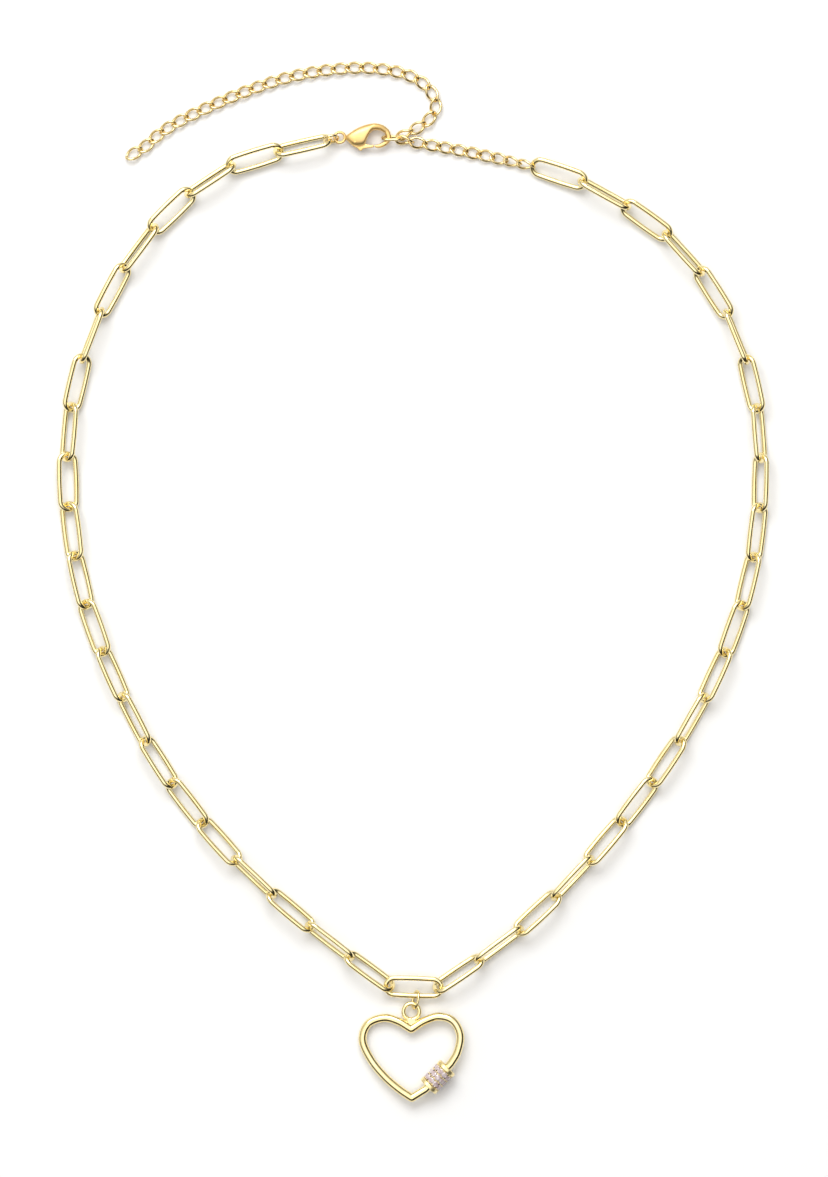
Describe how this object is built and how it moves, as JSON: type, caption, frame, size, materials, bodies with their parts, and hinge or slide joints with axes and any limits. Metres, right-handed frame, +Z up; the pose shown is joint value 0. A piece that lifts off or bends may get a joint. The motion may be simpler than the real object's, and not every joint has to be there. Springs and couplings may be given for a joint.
{
  "type": "pendant necklace",
  "caption": "Pendant necklace: paperclip-link chain with lobster clasp, curb-link extender and open heart pendant closed by a stone-set screw barrel.",
  "frame": {"origin": "Middle of the necklace's outline as it lies flat, at table height", "axes": "+X to the right of the necklace as laid out, +Y from the pendant towards the clasp, +Z up off the table"},
  "size_m": [0.1294, 0.1893, 0.0042],
  "materials": {
    "gold": "polished pale yellow gold plating",
    "warm_gold": "satin gold plating, slightly warmer",
    "stones": "clear faceted stones, set close in gold beads",
    "spring_steel": "bright spring steel"
  },
  "bodies": {
    "centre_link": {"centre_link": "gold"},
    "link_left_01": {"link_left_01": "gold"},
    "link_left_02": {"link_left_02": "gold"},
    "link_left_03": {"link_left_03": "gold"},
    "link_left_04": {"link_left_04": "gold"},
    "link_left_05": {"link_left_05": "gold"},
    "link_left_06": {"link_left_06": "gold"},
    "link_left_07": {"link_left_07": "gold"},
    "link_left_08": {"link_left_08": "gold"},
    "link_left_09": {"link_left_09": "gold"},
    "link_left_10": {"link_left_10": "gold"},
    "link_left_11": {"link_left_11": "gold"},
    "link_left_12": {"link_left_12": "gold"},
    "link_left_13": {"link_left_13": "gold"},
    "link_left_14": {"link_left_14": "gold"},
    "link_left_15": {"link_left_15": "gold"},
    "link_left_16": {"link_left_16": "gold"},
    "link_left_17": {"link_left_17": "gold"},
    "link_left_18": {"link_left_18": "gold"},
    "link_left_19": {"link_left_19": "gold"},
    "link_left_20": {"link_left_20": "gold"},
    "link_left_21": {"link_left_21": "gold"},
    "link_left_22": {"link_left_22": "gold"},
    "link_right_01": {"link_right_01": "gold"},
    "link_right_02": {"link_right_02": "gold"},
    "link_right_03": {"link_right_03": "gold"},
    "link_right_04": {"link_right_04": "gold"},
    "link_right_05": {"link_right_05": "gold"},
    "link_right_06": {"link_right_06": "gold"},
    "link_right_07": {"link_right_07": "gold"},
    "link_right_08": {"link_right_08": "gold"},
    "link_right_09": {"link_right_09": "gold"},
    "link_right_10": {"link_right_10": "gold"},
    "link_right_11": {"link_right_11": "gold"},
    "link_right_12": {"link_right_12": "gold"},
    "link_right_13": {"link_right_13": "gold"},
    "link_right_14": {"link_right_14": "gold"},
    "link_right_15": {"link_right_15": "gold"},
    "link_right_16": {"link_right_16": "gold"},
    "link_right_17": {"link_right_17": "gold"},
    "link_right_18": {"link_right_18": "gold"},
    "link_right_19": {"link_right_19": "gold"},
    "link_right_20": {"link_right_20": "gold"},
    "link_right_21": {"link_right_21": "gold"},
    "clasp_jump_ring": {"clasp_jump_ring": "warm_gold"},
    "clasp": {"clasp_body": "warm_gold", "clasp_rivet": "warm_gold", "clasp_spring": "spring_steel"},
    "clasp_lever": {"clasp_lever": "warm_gold"},
    "extender_hooked_link": {"extender_hooked_link": "gold"},
    "extender_run_inner": {"extender_run_inner": "gold"},
    "extender_run_outer": {"extender_run_outer": "gold"},
    "extender_tail_1": {"extender_tail_1": "gold"},
    "extender_tail_2": {"extender_tail_2": "gold"},
    "extender_tail_3": {"extender_tail_3": "gold"},
    "extender_tail_4": {"extender_tail_4": "gold"},
    "pendant_jump_ring": {"pendant_jump_ring": "gold"},
    "heart_frame": {"heart_frame": "gold"},
    "screw_sleeve": {"screw_sleeve": "gold"},
    "stone_band": {"stone_band": "stones"}
  },
  "joints": [
    {"name": "clasp_gate", "type": "hinge", "parent": "clasp", "child": "clasp_lever", "pos_m": [-0.01059, 0.07995, 0.00125], "axis": [0, 0, 1], "range_deg": [0, 25], "stiffness_Nm_per_rad": 0.002},
    {"name": "pendant_lift", "type": "hinge", "parent": "centre_link", "child": "pendant_jump_ring", "pos_m": [0.0006, -0.07535, 0.00135], "axis": [-1, 0, 0], "range_deg": [0, 90]},
    {"name": "pendant_swing", "type": "hinge", "parent": "pendant_jump_ring", "child": "heart_frame", "pos_m": [0.0002, -0.0768, 0.0013], "axis": [0, 0, 1], "range_deg": [-8, 10]},
    {"name": "barrel_turn", "type": "hinge", "parent": "screw_sleeve", "child": "stone_band", "pos_m": [0.00442, -0.08995, 0.00216], "axis": [-0.7071, -0.7071, -0.0032], "range_deg": [0, 1080]},
    {"name": "barrel_slide", "type": "slide", "parent": "heart_frame", "child": "screw_sleeve", "axis": [-0.7071, -0.7071, -0.0032], "range_m": [0, 0.0015]},
    {"name": "clasp_swivel", "type": "hinge", "parent": "clasp_jump_ring", "child": "clasp", "pos_m": [-0.01405, 0.0807, 0.00135], "axis": [0, 0, 1], "range_deg": [0, 15]},
    {"name": "clasp_ring_swing", "type": "hinge", "parent": "link_left_01", "child": "clasp_jump_ring", "pos_m": [-0.01569, 0.08028, 0.00185], "axis": [0, 0, 1], "range_deg": [0, 15]},
    {"name": "hooked_link_swing", "type": "hinge", "parent": "clasp", "child": "extender_hooked_link", "pos_m": [-0.0046, 0.0806, 0.00125], "axis": [0, 0, 1], "range_deg": [0, 12]},
    {"name": "run_inner_swing", "type": "hinge", "parent": "extender_hooked_link", "child": "extender_run_inner", "pos_m": [-0.0027, 0.0804, 0.0014], "axis": [0, 0, -1], "range_deg": [0, 4]},
    {"name": "run_outer_swing", "type": "hinge", "parent": "extender_run_inner", "child": "extender_run_outer", "pos_m": [0.00948, 0.07827, 0.00068], "axis": [0, 0, 1], "range_deg": [0, 15]},
    {"name": "tail_1_swing", "type": "hinge", "parent": "extender_hooked_link", "child": "extender_tail_1", "pos_m": [-0.00255, 0.0809, 0.0011], "axis": [0, 0, -1], "range_deg": [0, 10]},
    {"name": "tail_2_swing", "type": "hinge", "parent": "extender_tail_1", "child": "extender_tail_2", "pos_m": [-0.00185, 0.09243, 0.00068], "axis": [0, 0, -1], "range_deg": [0, 20]},
    {"name": "tail_3_swing", "type": "hinge", "parent": "extender_tail_2", "child": "extender_tail_3", "pos_m": [-0.01966, 0.09244, 0.00068], "axis": [0, 0, -1], "range_deg": [0, 20]},
    {"name": "tail_4_swing", "type": "hinge", "parent": "extender_tail_3", "child": "extender_tail_4", "pos_m": [-0.03665, 0.08665, 0.00068], "axis": [0, 0, -1], "range_deg": [-8, 20]},
    {"name": "link_left_22_swing", "type": "hinge", "parent": "centre_link", "child": "link_left_22", "pos_m": [-0.00435, -0.07345, 0.0018], "axis": [0, 0, 1], "range_deg": [0, 15]},
    {"name": "link_left_21_swing", "type": "hinge", "parent": "link_left_22", "child": "link_left_21", "pos_m": [-0.01165, -0.0681, 0.00199], "axis": [0, 0, 1], "range_deg": [0, 15]},
    {"name": "link_left_20_swing", "type": "hinge", "parent": "link_left_21", "child": "link_left_20", "pos_m": [-0.01882, -0.06258, 0.00199], "axis": [0, 0, 1], "range_deg": [0, 15]},
    {"name": "link_left_19_swing", "type": "hinge", "parent": "link_left_20", "child": "link_left_19", "pos_m": [-0.02573, -0.05674, 0.00205], "axis": [0, 0, 1], "range_deg": [0, 15]},
    {"name": "link_left_18_swing", "type": "hinge", "parent": "link_left_19", "child": "link_left_18", "pos_m": [-0.0323, -0.05052, 0.00205], "axis": [0, 0, 1], "range_deg": [0, 15]},
    {"name": "link_left_17_swing", "type": "hinge", "parent": "link_left_18", "child": "link_left_17", "pos_m": [-0.03835, -0.04378, 0.00149], "axis": [0, 0, 1], "range_deg": [0, 15]},
    {"name": "link_left_16_swing", "type": "hinge", "parent": "link_left_17", "child": "link_left_16", "pos_m": [-0.04387, -0.03661, 0.00166], "axis": [0, 0, 1], "range_deg": [0, 15]},
    {"name": "link_left_15_swing", "type": "hinge", "parent": "link_left_16", "child": "link_left_15", "pos_m": [-0.04869, -0.02895, 0.00185], "axis": [0, 0, 1], "range_deg": [0, 15]},
    {"name": "link_left_14_swing", "type": "hinge", "parent": "link_left_15", "child": "link_left_14", "pos_m": [-0.05284, -0.02091, 0.00185], "axis": [0, 0, 1], "range_deg": [0, 15]},
    {"name": "link_left_13_swing", "type": "hinge", "parent": "link_left_14", "child": "link_left_13", "pos_m": [-0.05649, -0.01263, 0.0017], "axis": [0, 0, 1], "range_deg": [0, 15]},
    {"name": "link_left_12_swing", "type": "hinge", "parent": "link_left_13", "child": "link_left_12", "pos_m": [-0.0595, -0.00409, 0.0016], "axis": [0, 0, 1], "range_deg": [0, 15]},
    {"name": "link_left_11_swing", "type": "hinge", "parent": "link_left_12", "child": "link_left_11", "pos_m": [-0.06155, 0.00472, 0.0016], "axis": [0, 0, 1], "range_deg": [0, 15]},
    {"name": "link_left_10_swing", "type": "hinge", "parent": "link_left_11", "child": "link_left_10", "pos_m": [-0.06269, 0.0137, 0.00142], "axis": [0, 0, 1], "range_deg": [0, 15]},
    {"name": "link_left_09_swing", "type": "hinge", "parent": "link_left_10", "child": "link_left_09", "pos_m": [-0.06295, 0.02275, 0.0018], "axis": [0, 0, 1], "range_deg": [0, 15]},
    {"name": "link_left_08_swing", "type": "hinge", "parent": "link_left_09", "child": "link_left_08", "pos_m": [-0.06218, 0.03176, 0.0018], "axis": [0, 0, 1], "range_deg": [0, 15]},
    {"name": "link_left_07_swing", "type": "hinge", "parent": "link_left_08", "child": "link_left_07", "pos_m": [-0.06006, 0.04056, 0.00212], "axis": [0, 0, 1], "range_deg": [0, 15]},
    {"name": "link_left_06_swing", "type": "hinge", "parent": "link_left_07", "child": "link_left_06", "pos_m": [-0.05682, 0.04901, 0.00212], "axis": [0, 0, 1], "range_deg": [0, 15]},
    {"name": "link_left_05_swing", "type": "hinge", "parent": "link_left_06", "child": "link_left_05", "pos_m": [-0.0526, 0.05702, 0.00199], "axis": [0, 0, 1], "range_deg": [0, 15]},
    {"name": "link_left_04_swing", "type": "hinge", "parent": "link_left_05", "child": "link_left_04", "pos_m": [-0.04718, 0.06427, 0.00199], "axis": [0, 0, 1], "range_deg": [0, 15]},
    {"name": "link_left_03_swing", "type": "hinge", "parent": "link_left_04", "child": "link_left_03", "pos_m": [-0.04071, 0.07059, 0.00202], "axis": [0, 0, 1], "range_deg": [0, 15]},
    {"name": "link_left_02_swing", "type": "hinge", "parent": "link_left_03", "child": "link_left_02", "pos_m": [-0.03315, 0.07557, 0.00202], "axis": [0, 0, 1], "range_deg": [0, 15]},
    {"name": "link_left_01_swing", "type": "hinge", "parent": "link_left_02", "child": "link_left_01", "pos_m": [-0.02451, 0.07826, 0.00185], "axis": [0, 0, 1], "range_deg": [0, 15]},
    {"name": "link_right_01_swing", "type": "hinge", "parent": "centre_link", "child": "link_right_01", "pos_m": [0.00445, -0.07375, 0.00183], "axis": [0, 0, 1], "range_deg": [-15, 0]},
    {"name": "link_right_02_swing", "type": "hinge", "parent": "link_right_01", "child": "link_right_02", "pos_m": [0.01194, -0.06867, 0.00202], "axis": [0, 0, 1], "range_deg": [-15, 0]},
    {"name": "link_right_03_swing", "type": "hinge", "parent": "link_right_02", "child": "link_right_03", "pos_m": [0.0192, -0.06327, 0.00202], "axis": [0, 0, 1], "range_deg": [-15, 0]},
    {"name": "link_right_04_swing", "type": "hinge", "parent": "link_right_03", "child": "link_right_04", "pos_m": [0.02583, -0.05711, 0.00202], "axis": [0, 0, 1], "range_deg": [-15, 0]},
    {"name": "link_right_05_swing", "type": "hinge", "parent": "link_right_04", "child": "link_right_05", "pos_m": [0.03203, -0.05051, 0.00202], "axis": [0, 0, 1], "range_deg": [-15, 0]},
    {"name": "link_right_06_swing", "type": "hinge", "parent": "link_right_05", "child": "link_right_06", "pos_m": [0.03789, -0.04362, 0.0016], "axis": [0, 0, 1], "range_deg": [-15, 0]},
    {"name": "link_right_07_swing", "type": "hinge", "parent": "link_right_06", "child": "link_right_07", "pos_m": [0.04337, -0.03642, 0.0016], "axis": [0, 0, 1], "range_deg": [-15, 0]},
    {"name": "link_right_08_swing", "type": "hinge", "parent": "link_right_07", "child": "link_right_08", "pos_m": [0.0484, -0.0289, 0.00191], "axis": [0, 0, 1], "range_deg": [-15, 0]},
    {"name": "link_right_09_swing", "type": "hinge", "parent": "link_right_08", "child": "link_right_09", "pos_m": [0.0529, -0.02104, 0.00191], "axis": [0, 0, 1], "range_deg": [-15, 0]},
    {"name": "link_right_10_swing", "type": "hinge", "parent": "link_right_09", "child": "link_right_10", "pos_m": [0.05669, -0.01282, 0.0017], "axis": [0, 0, 1], "range_deg": [-15, 0]},
    {"name": "link_right_11_swing", "type": "hinge", "parent": "link_right_10", "child": "link_right_11", "pos_m": [0.05975, -0.0043, 0.0017], "axis": [0, 0, 1], "range_deg": [-15, 0]},
    {"name": "link_right_12_swing", "type": "hinge", "parent": "link_right_11", "child": "link_right_12", "pos_m": [0.06185, 0.0045, 0.0017], "axis": [0, 0, 1], "range_deg": [-15, 0]},
    {"name": "link_right_13_swing", "type": "hinge", "parent": "link_right_12", "child": "link_right_13", "pos_m": [0.06292, 0.01348, 0.00178], "axis": [0, 0, 1], "range_deg": [-15, 0]},
    {"name": "link_right_14_swing", "type": "hinge", "parent": "link_right_13", "child": "link_right_14", "pos_m": [0.06315, 0.02253, 0.00191], "axis": [0, 0, 1], "range_deg": [-15, 0]},
    {"name": "link_right_15_swing", "type": "hinge", "parent": "link_right_14", "child": "link_right_15", "pos_m": [0.06243, 0.03155, 0.00191], "axis": [0, 0, 1], "range_deg": [-15, 0]},
    {"name": "link_right_16_swing", "type": "hinge", "parent": "link_right_15", "child": "link_right_16", "pos_m": [0.06038, 0.04037, 0.00212], "axis": [0, 0, 1], "range_deg": [-15, 0]},
    {"name": "link_right_17_swing", "type": "hinge", "parent": "link_right_16", "child": "link_right_17", "pos_m": [0.05696, 0.04874, 0.00212], "axis": [0, 0, 1], "range_deg": [-15, 0]},
    {"name": "link_right_18_swing", "type": "hinge", "parent": "link_right_17", "child": "link_right_18", "pos_m": [0.05211, 0.05638, 0.00199], "axis": [0, 0, 1], "range_deg": [-15, 0]},
    {"name": "link_right_19_swing", "type": "hinge", "parent": "link_right_18", "child": "link_right_19", "pos_m": [0.04602, 0.06308, 0.00199], "axis": [0, 0, 1], "range_deg": [-15, 0]},
    {"name": "link_right_20_swing", "type": "hinge", "parent": "link_right_19", "child": "link_right_20", "pos_m": [0.03866, 0.06835, 0.00204], "axis": [0, 0, 1], "range_deg": [-15, 0]},
    {"name": "link_right_21_swing", "type": "hinge", "parent": "link_right_20", "child": "link_right_21", "pos_m": [0.03074, 0.07273, 0.00204], "axis": [0, 0, 1], "range_deg": [-15, 0]}
  ],
  "couplings": [
    {"joint": "barrel_turn", "follows": "barrel_slide", "rad_per_m": 12566}
  ]
}
